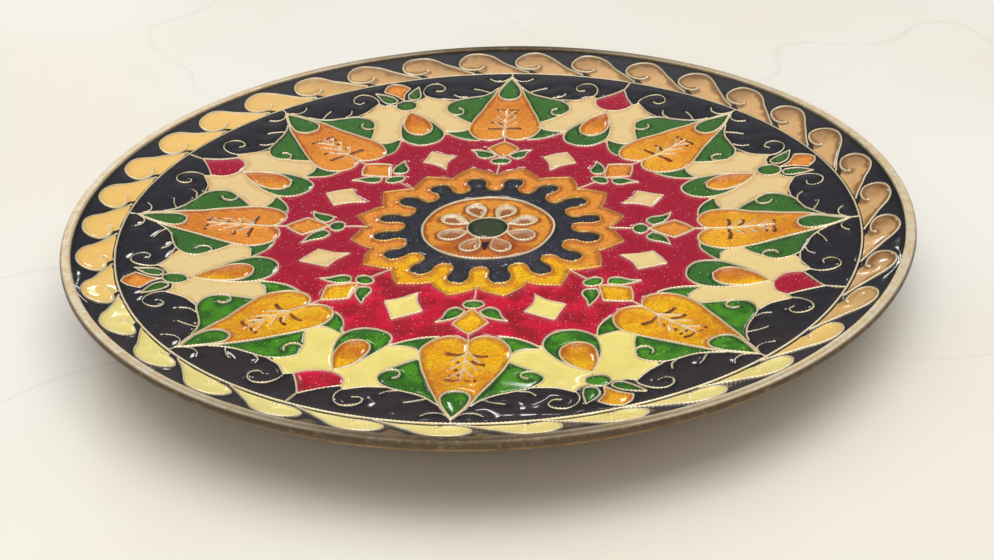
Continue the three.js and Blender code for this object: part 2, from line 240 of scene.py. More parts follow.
def distanceTo(points, line):
    # least distance of every point from the close-set points of a line
    least = np.empty(len(points))
    lengths = (line**2).sum(1)
    batch = 3000    # points at a time, so that the table of squares stays small
    for start in range(0, len(points), batch):
        part = points[start:start + batch]
        squares = (part**2).sum(1)[:, None] + lengths - 2 * part @ line.T
        least[start:start + batch] = squares.min(1)
    return np.sqrt(np.maximum(least, 0))


def insideOf(points, outline):
    # even-odd rule: a point is inside if a line to its right crosses the outline an odd number of times
    low, high = outline.min(0), outline.max(0)
    near = np.flatnonzero(((points > low) & (points < high)).all(1))
    found = np.zeros(len(points), bool)
    if len(near):
        x, y = points[near, 0, None], points[near, 1, None]
        x0, y0 = outline.T
        x1, y1 = np.roll(outline, -1, 0).T
        crosses = (y0 > y) != (y1 > y)
        share = (y - y0) / np.where(y1 == y0, 1, y1 - y0)
        found[near] = (crosses & (x < x0 + share * (x1 - x0))).sum(1) % 2 == 1
    return found


def smooth(share):
    share = np.clip(share, 0, 1)
    return share * share * (3 - 2 * share)


def ripple(points, size, seed=0):
    # a slow unevenness, mostly between -1 and 1: five waves in different directions, about size mm long
    rng = np.random.default_rng(seed)
    turn, phase = rng.uniform(0, 2 * math.pi, (2, 5))
    pace = 2 * math.pi / (size * rng.uniform(0.7, 1.4, 5))
    across = points[:, 0, None] * np.cos(turn) + points[:, 1, None] * np.sin(turn)
    return np.sin(across * pace + phase).sum(1) / 3


enamel = {
    "contact": 0.14,        # mm below the wire's top, the highest that enamel meets a wire
    "climb": 0.16,          # mm that the glass climbs beside a wire, unless a cell has its own
    "wireHalf": 0.25,       # mm from a wire's middle to its side
    "coverDrop": 1.3,       # mm, how far a sheet dives under a cell that lies over it
    "coverReach": 1.5,      # mm, and over what distance
    "thickness": 1.0,       # mm
    "solid": 0.3,           # mm, the least glass under the lowest place of a cell's surface
    "skirt": 0.2,           # mm, the least height of a piece's outer edge
    "deepest": 2.6,         # mm below the wires' level, in the metal of the dish, where an underside stops
    "ringSink": 0.6,        # share of coverDrop by which a ring is thicker than a cell
    "waveLength": 7.0,      # mm, the slow unevenness of a fired surface
    "uneven": 0.03,         # mm, its height, unless a piece has its own
    "calm": 1.5,            # mm beside a wire in which it fades
    "crownFrom": 0.7, "crownOver": 3.0,     # mm from a wire, where a crown starts, and over what distance
    "step": 0.25,           # mm between the points that stand for a wire
    "spacing": 0.6,         # mm between the rings of points of a cell
    "rings": (4, 26),       # fewest and most of them
    "crowding": 1.35,       # they crowd towards the outline with this power
}


def pool(wires, covers, values):
    # depth of an enamel surface under the wires' level: depth - climb * exp(-distance / reach);
    # it swells up again by crown in its middle, and dives under its covers
    near = np.concatenate([evenly(line, enamel["step"]) for line in wires])
    climb = min(values.get("climb", enamel["climb"]), values["depth"] - enamel["contact"])

    def depthOf(plan):
        gap = np.maximum(distanceTo(plan, near) - enamel["wireHalf"], 0)
        low = values["depth"] - climb * np.exp(-gap / values["reach"])
        uneven = values.get("uneven", enamel["uneven"]) * ripple(plan, enamel["waveLength"])
        low += uneven * smooth(gap / enamel["calm"])
        low -= values.get("crown", 0) * smooth((gap - enamel["crownFrom"]) / enamel["crownOver"])
        for cover in covers:
            under = insideOf(plan, cover)
            if under.any():
                low[under] += diving(plan[under], cover)
        return low, gap
    return depthOf


def diving(plan, edge):
    # how far a sheet has gone down at each place, from the edge of what lies over it
    return enamel["coverDrop"] * smooth(distanceTo(plan, edge) / enamel["coverReach"])


# A shape is a dictionary of "points" (n, 3) in mm, "faces" as lists, and values per point, such as "gap".


def quads(row, down, count, turnOver=False):
    # faces from each ring of count points that starts at row to the ring that starts at down
    here = np.arange(count)
    after = (here + 1) % count
    corners = [row + here, down + here, down + after, row + after]
    if turnOver:
        corners = [corners[i] for i in (0, 3, 2, 1)]
    return np.stack(corners, -1).reshape(-1, 4).tolist()


def fan(ring, pole, count, turnOver=False):
    # faces from the ring of count points that starts at ring to its pole
    here = np.arange(count)
    sides = [ring + here, ring + (here + 1) % count]
    return np.stack((sides[::-1] if turnOver else sides) + [np.full(count, pole)], 1).tolist()


def underside(upper, sink):
    # the lower edge of a piece: sink below its upper edge, but no lower than the metal of the dish holds it
    level = levelAt(np.hypot(upper[..., 0], upper[..., 1]))
    height = np.maximum(upper[..., 2] - sink, level - enamel["deepest"])
    return np.concatenate([upper[..., :2], np.minimum(height, upper[..., 2] - enamel["skirt"])[..., None]],
                          -1)


def bowl(outline, centre, depthOf, spacing=enamel["spacing"]):
    # grid from the centre to the outline and back below: P(s, t) = centre + t * (outline(s) - centre)
    centre = np.array(centre, float)
    spokes = outline - centre
    rings = int(np.clip(np.hypot(*spokes.T).max() / spacing, *enamel["rings"]))
    share = 1 - (1 - np.arange(1, rings + 1) / rings) ** enamel["crowding"]
    plan = (centre + share[:, None, None] * spokes).reshape(-1, 2)
    plan = np.concatenate([centre[None], plan])
    low, gap = depthOf(plan)
    top = np.column_stack([plan, levelAt(np.hypot(*plan.T)) - low])
    count = len(outline)
    sink = max(enamel["thickness"], (low.max() - low[-count:].min()) + enamel["solid"])
    under = underside(top[-count:], sink)
    pole = top[:1].copy()
    pole[0, 2] = min(under[:, 2].mean(), top[:, 2].min() - enamel["solid"])
    row = np.arange(rings)[:, None] * count + 1        # the last step down is the skirt
    last = 1 + rings * count
    return {"points": np.concatenate([top, under, pole]), "gap": np.concatenate([gap, np.zeros(count + 1)]),
            "faces": quads(row, row + count, count) + fan(1, 0, count) + fan(last, last + count, count, True)}


wire = {
    "width": 0.5, "height": 0.95,    # mm, the strip that stands between two cells
    "tooth": 0.85,                   # mm between the teeth of its twist
    "bite": 0.15,                    # how deep the teeth are, as a share
    "step": 0.2, "sides": 7,         # mm along the wire, points round it
    "wander": 0.09,                  # mm, how far a hand lays it off its line
    "paces": (2.7, 1.3),             # mm along it for each radian of its two wanderings
    "tip": 0.2,                      # mm that its ends stand out, pointed
    "lift": 0.0,                     # mm over the wires' level
}


def rope(line, isClosed=False, values=wire, seed=0):
    # twisted wire: an oval section with two lobes that turn as it goes along,
    # radius(angle, s) = 1 + bite * cos(2 * angle - 2 pi s / tooth)
    path = evenly(loop(line) if isClosed else line, values["step"])
    if isClosed:
        path = path[:-1]
    count, sides = len(path), values["sides"]
    rng = np.random.default_rng(seed)
    along = np.arange(count) * values["step"]
    wave = sum(np.sin(along / pace + rng.uniform(0, 6)) for pace in values["paces"])
    if isClosed:
        ahead, behind = np.roll(path, -1, 0), np.roll(path, 1, 0)
        wave = wave * np.sin(np.pi * np.arange(count) / count) ** 0.5
    else:
        ahead, behind = np.concatenate([path[1:], path[-1:]]), np.concatenate([path[:1], path[:-1]])
    heading = ahead - behind
    heading /= np.maximum(np.hypot(*heading.T), 1e-9)[:, None]
    across = np.stack([heading[:, 1], -heading[:, 0]], 1)
    middle = path + across * (wave * values["wander"] / 2)[:, None]
    teeth = max(1, round(count * values["step"] / values["tooth"]))
    phase = 2 * math.pi * teeth * np.arange(count)[:, None] / count
    angle = 2 * math.pi * np.arange(sides) / sides
    size = 1 + values["bite"] * np.cos(2 * angle - phase)
    sideways = size * np.cos(angle) * values["width"] / 2
    upward = size * np.sin(angle) * values["height"] / 2 - values["height"] / 2
    plan = middle[:, None] + across[:, None] * sideways[..., None]
    level = levelAt(np.hypot(*middle.T)) + values["lift"] + values["wander"] / 2 * np.roll(wave, 3)
    points = np.concatenate([plan, (level[:, None] + upward)[..., None]], -1).reshape(-1, 3)
    crown = np.tile((np.sin(angle) + 1) / 2, count) * np.clip(size.ravel(), 0, 1.1)
    row = np.arange(count)[:, None] * sides
    down = np.roll(row, -1, 0)
    if isClosed:
        return {"points": points, "faces": quads(row, down, sides), "gap": crown}
    tips = np.column_stack([middle[[0, -1]], level[[0, -1]] - values["height"] / 2])
    tips[:, :2] += heading[[0, -1]] * [[-values["tip"]], [values["tip"]]]
    faces = quads(row[:-1], down[:-1], sides)
    faces += fan(0, count * sides, sides) + fan((count - 1) * sides, count * sides + 1, sides, True)
    return {"points": np.concatenate([points, tips]), "faces": faces, "gap": np.concatenate([crown,
                                                                                             [0.5, 0.5]])}


def bead(place, values):
    # small ball where a wire ends: rings of points from its lower pole to its upper one
    rings, sides, radius = values["rings"], values["sides"], values["radius"]
    height = np.linspace(-1, 1, rings + 2)[1:-1]
    angle = 2 * math.pi * np.arange(sides) / sides
    ring = np.sqrt(1 - height**2)[:, None]
    level = levelAt(math.hypot(*place)) - radius * values["sunk"]
    x = place[0] + radius * ring * np.cos(angle)
    y = place[1] + radius * ring * np.sin(angle)
    z = np.repeat(level + radius * height[:, None], sides, 1)
    ends = [[*place, level - radius], [*place, level + radius]]
    points = np.concatenate([np.stack([x, y, z], -1).reshape(-1, 3), ends])
    row, poles = np.arange(rings - 1)[:, None] * sides, rings * sides
    faces = quads(row, row + sides, sides, True) + fan(0, poles, sides, True) + fan(poles - sides,
                                                                                    poles + 1, sides)
    return {"points": points, "faces": faces, "gap": np.full(len(points), 1.0)}


def lathe(profile, columns=256, wave=None, shine=None):
    # a profile of (radius, height), run so that the metal lies on its left, turned about the axis;
    # one that starts and ends on the axis is closed by two poles, any other is closed on itself
    profile = np.asarray(profile, float)
    onAxis = profile[0, 0] < 1e-6
    body = profile[1:-1] if onAxis else profile
    turn = 2 * math.pi * np.arange(columns) / columns
    radius, height = (np.repeat(body[:, i:i + 1], columns, 1) for i in (0, 1))
    if wave is not None:
        radius, height = wave(radius, height, turn)
    points = np.stack([radius * np.sin(turn), radius * np.cos(turn), height], -1).reshape(-1, 3)
    row = np.arange(len(body))[:, None] * columns
    down = np.roll(row, -1, 0)
    if onAxis:
        poles, last = len(points), (len(body) - 1) * columns
        points = np.concatenate([points, [[0, 0, profile[0, 1]], [0, 0, profile[-1, 1]]]])
        faces = quads(row[:-1], down[:-1], columns) + fan(0, poles, columns) + fan(last, poles + 1, columns,
                                                                                   True)
    else:
        faces = quads(row, down, columns)
    return {"points": points, "faces": faces,
            "gap": np.zeros(len(points)) if shine is None else shine.ravel()}


def joined(shapes):
    starts = np.cumsum([0] + [len(shape["points"]) for shape in shapes])
    faces = [[corner + int(start) for corner in face]
             for shape, start in zip(shapes, starts) for face in shape["faces"]]
    keys = set.intersection(*[set(shape) for shape in shapes]) - {"faces"}
    return {"faces": faces, **{key: np.concatenate([shape[key] for shape in shapes]) for key in keys}}


hand = {
    "stray": 0.45,      # mm, how far the hand-drawn plan strays from its true repeat
    "waves": 26.0,      # mm, how slowly it strays
    "seeds": (11, 12),  # of its stray to the right and ahead
    "stillFrom": 84.0, "stillOver": 8.0,    # mm, no stray from this radius out, and how it fades before
    # painted shade of the far side: where a colour starts to take its shaded look, and over how much of the
    # plate
    "sideShading": (0.8, 0.6),
    "tone": 0.12,       # how far the tone of one copy strays
    "sharp": 40,        # degrees, an edge that is shaded as one
}


def shadeOfSide(turn):
    # painted shade: how far a colour takes its shaded look, 0 on the near side, 1 on the far side, smooth
    # between
    start, width = hand["sideShading"]
    return smooth((np.cos(turn) + start) / width)


def copies(shape, angles, seed=0, tones=None, farShade=None):
    # the same shape turned round the axis, each copy with a tone of its own between 0 and 1, the painted shade
    # of its side of the plate with a random stray, or as listed; the painted shade towards the plate's far
    # side in each cell is given by the cell's middle, the share of shade, and over what width
    if tones is None:
        stray = np.random.default_rng(seed).uniform(-hand["tone"], hand["tone"], len(angles))
        tones = np.clip(shadeOfSide(np.radians(angles)) + stray, 0, 1)
    made = []
    for degrees, tone in zip(angles, tones):
        points = np.column_stack([turned(shape["points"][:, :2], degrees), shape["points"][:, 2]])
        part = {**shape, "points": points, "tone": np.full(len(points), tone)}
        if farShade is not None:
            middle = turned(np.array([farShade["middle"]], float), degrees)[0, 1]
            darkened = farShade["share"] * smooth(0.5 + (points[:, 1] - middle) / farShade["width"])
            part["deep"] = np.maximum(part.get("deep", 0), darkened)
        made.append(part)
    return joined(made)


def handMade(points):
    # the whole plan is pushed sideways by one slow field, so wires and cells stay together
    radius, over = np.hypot(points[:, 0], points[:, 1]), hand["stillOver"]
    still = 1 - smooth((radius - hand["stillFrom"] + over) / over)
    moved = points.copy()
    for axis, seed in enumerate(hand["seeds"]):
        moved[:, axis] += hand["stray"] * ripple(points, hand["waves"], seed) * still
    return moved


def addPiece(name, shape, material, nodes=(), warp=True):
    # attributes for the materials: gap is the distance to a wire in mm, or how bright a metal is drawn, partly
    # wear and partly painted light and shade; tone is a share of painted shade by the side of the plate, and
    # the third a share of a darker colour, partly painted shade
    points = handMade(shape["points"]) if warp else shape["points"]
    data = bpy.data.meshes.new(name)
    data.from_pydata((points / 1000).tolist(), [], shape["faces"])
    for key in ("gap", "tone", "deep"):
        if key in shape:
            data.attributes.new(key, "FLOAT", "POINT").data.foreach_set("value",
                                                                        shape[key].astype(np.float32))
    data.shade_smooth()
    data.set_sharp_from_angle(angle=math.radians(hand["sharp"]))
    data.materials.append(material)
    item = bpy.data.objects.new(name, data)
    scene.collection.objects.link(item)
    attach(item, "root")
    if nodes:
        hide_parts(*nodes)


def linear(code):
    # sRGB hex to linear RGBA
    parts = [int(code[i:i + 2], 16) / 255 for i in (1, 3, 5)]
    return tuple(c / 12.92 if c <= 0.04045 else ((c + 0.055) / 1.055) ** 2.4 for c in parts) + (1.0,)


def addNode(tree, kind, inputs=(), output=0, **settings):
    # one shader node with its settings and its inputs, each a value or another node's socket, listed in
    # order or by name; gives the socket that the next node takes
    node = tree.nodes.new("ShaderNode" + kind)
    for name, value in settings.items():
        setattr(node, name, value)
    for name, value in inputs.items() if isinstance(inputs, dict) else enumerate(inputs):
        if isinstance(value, bpy.types.NodeSocket):
            tree.links.new(value, node.inputs[name])
        else:
            node.inputs[name].default_value = value
    return node.outputs[output] if node.outputs else None


# Settings that many nodes share. A soft Map Range takes a value, its low and high, and what they become.
soft = {"interpolation_type": "SMOOTHSTEP"}
blend = {"data_type": "RGBA", "output": 2}
times = {"operation": "MULTIPLY"}
fewClouds, halfClouds = (0.38, 0.62), (0.3, 0.7)    # values of a noise between which it changes over


def newMaterial(name):
    material = bpy.data.materials.new(name)
    material.use_nodes = True
    material.node_tree.nodes.clear()
    return material, material.node_tree, addNode(material.node_tree, "TexCoord", output="Object")


def makeEnamel(name, look):
    # Enamel: glass powder fused on metal and polished. The eye sees a wet gloss over a colour that darkens
    # beside a wire, partly thick glass and partly painted shade, with the grain of the powder in it; the
    # plate's far side is painted shaded.
    material, tree, place = newMaterial(name)
    gap, tone, darkened = (addNode(tree, "Attribute", output="Fac", attribute_name=key) for key in ("gap",
                                                                                               "tone", "deep"))
    scale = {key: 1000.0 / look[key] for key in ("cloudSize", "patchSize", "grainSize", "waveSize",
                                                 "crackGap", "speckGap")}
    cloud = addNode(tree, "TexNoise", {"Vector": place, "Scale": scale["cloudSize"], "Detail": 3.0,
                                       "Roughness": 0.55})
    # painted shade of the plate's far side, in two steps
    middle = addNode(tree, "MapRange", [tone, 0.0, 0.5, 0.0, look["toneShare"]], **soft)
    far = addNode(tree, "MapRange", [tone, 0.5, 1.0, 0.0, look["toneShare"]], **soft)
    # a darker colour where a cell says so: painted shade on the far side of hearts, seeds and drops, and
    # darker towards each heart's tip
    broken = addNode(tree, "MapRange", [cloud, *halfClouds, 0.6, 1.0], **soft)
    deep = addNode(tree, "Math", [darkened, broken], **times)
    # a colour beside the wires, its width broken up by a finer cloud: painted shade, partly thick glass, and
    # in the crimson and the petals a paler painted highlight
    patch = addNode(tree, "TexNoise", {"Vector": place, "Scale": scale["patchSize"]})
    wide = addNode(tree, "MapRange", [patch, *halfClouds, look["edgeWidth"] * 0.5, look["edgeWidth"] * 1.5],
                   **soft)
    away = addNode(tree, "Math", [gap, wide], operation="DIVIDE")
    edge = addNode(tree, "MapRange", [away, 0.25, 1.0, look["edgeShare"], 0.0], **soft)
    # the colour beside the wires is painted weaker on the near side of the plate
    onSide = addNode(tree, "MapRange", [tone, 0.65, 1.0, look["edgeNear"], 1.0], **soft)
    edge = addNode(tree, "Math", [edge, onSide], **times)
    # hairline crackle of the glass
    crack = addNode(tree, "TexVoronoi", {"Vector": place, "Scale": scale["crackGap"]}, "Distance",
                    feature="DISTANCE_TO_EDGE")
    crack = addNode(tree, "MapRange", [crack, 0.0, look["crackWidth"], look["crackShare"], 0.0], **soft)
    # each layer of colour over the last: how much of it shows, and what it is
    base = linear(look["colour"])
    second = addNode(tree, "MapRange", [cloud, *fewClouds], **soft)
    for share, colour in ((second, "second"), (middle, "midColour"), (far, "toneColour"),
                          (deep, "deepColour"),
                          (edge, "edgeColour"), (crack, "deepColour")):
        base = addNode(tree, "Mix", {0: share, 6: base, 7: linear(look[colour])}, **blend)
    # grain of the powder
    grain = addNode(tree, "TexNoise", {"Vector": place, "Scale": scale["grainSize"], "Detail": 1.0})
    grain = addNode(tree, "MapRange", [grain, 0.25, 0.75, 1 - look["grainDepth"], 1 + look["grainDepth"]],
                    **soft)
    grey = addNode(tree, "CombineColor", [grain, grain, grain])
    base = addNode(tree, "Mix", {0: 1.0, 6: base, 7: grey}, blend_type="MULTIPLY", **blend)
    # dark pinholes and small bright specks in the glass
    spot = addNode(tree, "TexVoronoi", {"Vector": place, "Scale": scale["speckGap"]}, "Distance",
                   feature="F1")
    fleck = addNode(tree, "MapRange", [spot, look["speckSize"] * 0.5, look["speckSize"], 1.0, 0.0], **soft)
    drawn = addNode(tree, "SeparateColor", [spot.node.outputs["Color"]])
    drawn = addNode(tree, "MapRange", [drawn, 1 - look["speckShare"], 1.001 - look["speckShare"]], **soft)
    fleck = addNode(tree, "Math", [fleck, drawn], **times)
    base = addNode(tree, "Mix", {0: fleck, 6: base, 7: linear(look["speckColour"])}, **blend)
    # uneven fired surface
    wave = addNode(tree, "TexNoise", {"Vector": place, "Scale": scale["waveSize"]})
    bump = addNode(tree, "Bump", {"Strength": 1.0, "Distance": look["waveHeight"] / 1000, "Height": wave})
    bump = addNode(tree, "Bump", {"Strength": 1.0, "Distance": look["speckHeight"] / 1000, "Height": fleck,
                                  "Normal": bump})
    rough = addNode(tree, "MapRange", [patch, *halfClouds, look["roughness"], look["roughness"] * 1.8],
                    **soft)
    shader = addNode(tree, "BsdfPrincipled", {"Base Color": base, "Roughness": rough, "IOR": 1.52,
                                              "Normal": bump})
    addNode(tree, "OutputMaterial", [shader])
    return material


def enamelLook(colour, second, toneColour, edgeColour, **changes):
    # sizes and heights in mm, shares from 0 to 1, crackWidth and speckSize as shares of their gaps; tone is
    # the painted shade of the plate's far side, and edge the colour beside the wires, painted shade and
    # highlight, partly thick glass
    return {
        "colour": colour, "second": second, "cloudSize": 5.0, "midColour": toneColour,
        "toneColour": toneColour,
        "toneShare": 0.8, "crackGap": 1.7, "crackWidth": 0.05, "crackShare": 0.0, "deepColour": edgeColour,
        "edgeColour": edgeColour, "edgeWidth": 1.3, "edgeShare": 0.85, "edgeNear": 0.8, "patchSize": 3.0,
        "grainSize": 0.4, "grainDepth": 0.15, "speckGap": 1.3, "speckSize": 0.14, "speckShare": 0.16,
        "speckColour": "#F4E3C0", "speckHeight": 0.008, "waveSize": 3.0, "waveHeight": 0.02,
        "roughness": 0.06,
        **changes,
    }


looks = {
    "amber": enamelLook("#FFCA00", "#FCB402", "#F29A3C", "#AE540A", deepColour="#CC6E0C", edgeShare=0.8,
                        edgeWidth=1.2, grainDepth=0.22, grainSize=0.5, crackShare=0.5, crackWidth=0.07),
    "stroke": enamelLook("#74390A", "#8E4C10", "#70340E", "#A8621A", edgeShare=0.2),
    "orange": enamelLook("#C4661A", "#D87C22", "#F0A030", "#963F0C", cloudSize=9.0, edgeNear=1.0,
                         crackShare=0.4),
    "green": enamelLook("#4A9416", "#2C6C10", "#386E28", "#10330E", speckColour="#D8EC9C", edgeNear=1.0,
                        edgeShare=0.7, edgeWidth=1.0, speckShare=0.45, grainDepth=0.25, waveHeight=0.012),
    "centreGreen": enamelLook("#39442E", "#303C2A", "#39442E", "#1C2418", speckShare=0.3,
                              speckColour="#BFC9A8"),
    # its pink edge colour is a painted highlight on the glass that climbs the wires
    "crimson": enamelLook("#D60036", "#A60024", "#AC0432", "#C4506C", cloudSize=5.5, edgeShare=0.3,
                          edgeWidth=0.8, edgeNear=1.0, speckShare=0.6, speckGap=0.8, speckSize=0.16,
                          speckColour="#F8D4DA", speckHeight=0.02, grainDepth=0.3),
    "cream": enamelLook("#FDEE8E", "#F9E684", "#F2D29C", "#CF9C5C", midColour="#FBE29A", speckShare=0.04,
                        speckColour="#8C7A50", grainDepth=0.04, edgeShare=0.45, edgeNear=0.1),
    "drop": enamelLook("#FFF49C", "#FDEC92", "#DCAE78", "#7A5028", midColour="#FFCF74", speckShare=0.04,
                       speckColour="#8C7A50", grainDepth=0.05, edgeWidth=1.5, edgeShare=0.8, edgeNear=0.08,
                       toneShare=0.95),
    # its pale edge colour is a painted highlight on the scooped walls of the petals
    "petal": enamelLook("#A8602C", "#B8743E", "#9C6030", "#F2DCC0", edgeWidth=1.1, edgeShare=0.95,
                        edgeNear=0.15,
                        speckShare=0.04),
    # the dark ground's grey colour is partly a painted reflection of the room over near-black navy glass; the
    # far side's navy is nearer the glass itself
    "dark": enamelLook("#2A2428", "#30282E", "#1E1E2A", "#100F16", cloudSize=9.0, speckShare=0.10,
                       speckGap=1.5,
                       speckSize=0.1, speckColour="#8F8A90", roughness=0.05),
    "ringDark": enamelLook("#2C2C38", "#383846", "#2A2C3A", "#181A24", speckShare=0.6, speckGap=0.8,
                           speckSize=0.18, speckColour="#B4B2B8", waveHeight=0.04),
}
enamels = {name: makeEnamel(name + "FusedEnamel", look) for name, look in looks.items()}
slots = {name: name + "_enamel" for name in ("amber", "green", "crimson", "cream", "dark")}
slots.update({"stroke": "amber_enamel", "orange": "amber_enamel", "centreGreen": "green_enamel",
              "drop": "cream_enamel", "petal": "cream_enamel", "ringDark": "dark_enamel"})


def addEnamel(name, shape, look, nodes=(), warp=True):
    addPiece(name, shape, enamels[look], nodes, warp)


def makeMetal(name, look):
    # Gilt and brass, rubbed pale on top: metal gloss on the crowns, and a brown film of tarnished metal and
    # soot in the grooves and low places; on the lip this brown also stands for painted shade.
    material, tree, place = newMaterial(name)
    scale = {key: 1000.0 / look[key] for key in ("cloudSize", "stainSize", "dentSize")}
    cloud = addNode(tree, "TexNoise", {"Vector": place, "Scale": scale["cloudSize"], "Detail": 5.0,
                                       "Roughness": 0.65})
    stain = addNode(tree, "TexNoise", {"Vector": place, "Scale": scale["stainSize"], "Detail": 4.0,
                                       "Roughness": 0.7})
    dent = addNode(tree, "TexNoise", {"Vector": place, "Scale": scale["dentSize"], "Detail": 3.0})
    gap = addNode(tree, "Attribute", output="Fac", attribute_name="gap")
    second = addNode(tree, "MapRange", [cloud, *fewClouds], **soft)
    groove = addNode(tree, "MapRange", [gap, look["shineLow"], look["grooveHigh"], look["tarnish"], 0.0],
                     **soft)
    stain = addNode(tree, "MapRange", [stain, 0.5, 0.7, 0.0, look["stain"]], **soft)
    base = linear(look["colour"])
    for share, colour in ((second, "second"), (groove, "tarnishAndShadeColour"), (stain, "stainColour")):
        base = addNode(tree, "Mix", {0: share, 6: base, 7: linear(look[colour])}, **blend)
    bump = addNode(tree, "Bump", {"Strength": 1.0, "Distance": look["dentHeight"] / 1000, "Height": dent})
    rough = addNode(tree, "MapRange", [cloud, *halfClouds, look["roughness"], look["roughness"] * 1.4],
                    **soft)
    addNode(tree, "OutputMaterial", [addNode(tree, "BsdfPrincipled", {
        "Base Color": base, "Metallic": look["metallic"], "Roughness": rough, "Normal": bump})])
    return material


def metalLook(colour, second, tarnishAndShadeColour, **changes):
    # sizes and heights in mm, shares from 0 to 1
    return {
        "colour": colour, "second": second, "cloudSize": 3.0,
        "tarnishAndShadeColour": tarnishAndShadeColour, "shineLow": 0.05, "grooveHigh": 0.6, "tarnish": 0.6,
        "stainColour": tarnishAndShadeColour, "stainSize": 4.0, "stain": 0.15,
        "dentSize": 0.6, "dentHeight": 0.02, "roughness": 0.42, "metallic": 1.0, **changes,
    }


metals = {
    "wire": makeMetal("twistedGiltWire", metalLook("#FFF6DC", "#FAE8BE", "#B0925E", metallic=0.5)),
    "ringWire": makeMetal("amberStainedWire", metalLook("#F8D488", "#EBBE68", "#9A6420")),
    # on the lip the dark brown is partly tarnished metal and partly painted shade on its outer side and at its
    # near and far ends
    "rim": makeMetal("hammeredBrassLip", metalLook(
        "#FCF0D6", "#F2DAB0", "#46341E", tarnish=0.95, stain=0.35, stainSize=1.6, grooveHigh=0.8,
        stainColour="#B89468", dentSize=1.1, dentHeight=0.08, roughness=0.4, metallic=0.5)),
    "back": makeMetal("spunBrassBack", metalLook(
        "#A98B5E", "#8F7248", "#8F7248", tarnish=0.3, cloudSize=14.0, stainSize=18.0, stain=0.6,
        stainColour="#4E3C28", roughness=0.4)),
}
print("materials made")

metalBody = {
    "sheet": 1.4,            # mm, metal of the dish
    "seat": 1.7,             # mm from the wire tops down to the metal
    "hidden": 0.4,           # mm that the sheet is thinner from above, where the enamel covers it
    "flangeRadius": 98.6,    # the dish's edge, under the rim ring
    "flangeTop": 17.94, "flangeSheet": 1.2,
    # painted shade: how bright the lip stays at its near and far ends; it is drawn brightest at its left and
    # right
    "shineNear": 0.08, "shineFar": 0.05,
    "waviness": 0.10,        # mm, how far the hand-beaten lip strays
    "lipColumns": 600,
    "footOuter": 52.0, "footWall": 1.8, "footFlare": 1.2,
}
# the lip's section in mm from its lower inner corner, round by the outside: a shallow trough between two
# worn edges, and how bright each place is drawn: worn edges bright, partly painted highlight; outer side and
# underside dark, painted shade
lipSection = [(97.9, 17.9, 0.1), (98.8, 17.9, 0.05), (99.45, 18.02, 0.0), (99.85, 18.4, 0.0),
              (99.97, 18.9, 0.0),
              (99.85, 19.4, 0.1), (99.6, 19.75, 0.6), (99.3, 19.93, 1.0), (98.95, 19.9, 0.85),
              (98.5, 19.83, 0.75),
              (98.1, 19.87, 0.9), (97.8, 19.93, 1.0), (97.6, 19.75, 0.9), (97.5, 19.4, 0.5),
              (97.52, 18.6, 0.3),
              (97.6, 18.0, 0.2)]


def dishProfile(values):
    # underside from the axis out, round the flange, and back along the top
    radii = np.array([0, 20, 40, 50, 56, 62, 68, 74, 80, 85, 88, 91, 94, 95.4])
    below = np.stack([radii, levelAt(radii) - values["seat"] - values["sheet"]], 1)
    above = np.stack([radii, levelAt(radii) - values["seat"] - values["hidden"]], 1)
    top, edge = values["flangeTop"], values["flangeRadius"]
    bottom = top - values["flangeSheet"]
    flange = [(edge - 1.9, bottom), (edge - 0.4, bottom + 0.05), (edge - 0.1, bottom + 0.2),
              (edge, bottom + 0.45),
              (edge, top - 0.3), (edge - 0.25, top), (edge - 1.2, top)]
    return np.concatenate([below, flange, above[::-1]])


def beaten(radius, height, turn):
    # the lip wanders a little up, down and inwards, as hammering leaves it
    stray = metalBody["waviness"] * (
        np.sin(5 * turn + 1) + np.sin(11 * turn + 2) + np.sin(23 * turn) * 0.5) / 2.5
    return radius - np.abs(stray) * 0.6, height + (stray - metalBody["waviness"]) * 0.4


def lipProfile(section):
    # closed smooth curve through the section's points; the share of brightness runs along with it, and round
    # the rim it is painted lower at the near and far ends as shade
    section = np.array(section + section[:1])
    outline = curveThrough(section[:, :2], 0.2)
    place = np.concatenate([[0], np.cumsum(np.hypot(*np.diff(section[:, :2], axis=0).T))])
    shine = np.interp(np.linspace(0, place[-1], len(outline)), place, section[:, 2])
    turn = 2 * math.pi * np.arange(metalBody["lipColumns"]) / metalBody["lipColumns"]
    endShine = np.where(np.cos(turn) < 0, metalBody["shineNear"], metalBody["shineFar"])
    paintedSideLight = endShine + (1 - endShine) * np.abs(np.sin(turn))
    return outline[:-1], shine[:-1, None] * paintedSideLight


def footProfile(values):
    outer = values["footOuter"]
    inner, flare = outer - values["footWall"], values["footFlare"]
    top = float(levelAt(outer)) - values["seat"] - values["sheet"] - 0.02
    tread = [(0.75 * flare, 0.0), (0.95 * flare, 0.2), (flare, 0.6), (0.83 * flare, 1.0), (0.4 * flare, 1.5),
             (0.1 * flare, 2.1), (0.0, 3.0)]
    return np.array([(inner + 0.2, 0.0)] + [(outer + out, up) for out, up in tread]
                    + [(outer, top), (inner, top), (inner, 0.25)])


lipOutline, lipShine = lipProfile(lipSection)
lip = lathe(lipOutline, metalBody["lipColumns"], beaten, lipShine)
addPiece("spunDish", lathe(dishProfile(metalBody)), metals["back"], ["dish"], warp=False)
addPiece("rimLip", lip, metals["rim"], ["rim_ring"], warp=False)
addPiece("footRing", lathe(footProfile(metalBody)), metals["back"], ["foot_ring"], warp=False)
print("metal body made")


def withMirrored(shape):
    mirror = {**shape, "points": shape["points"] * (-1, 1, 1),
              "faces": [face[::-1] for face in shape["faces"]]}
    return [shape, mirror]


def placed(lines, angles):
    return [turned(line, degrees) for degrees in angles for line in lines]


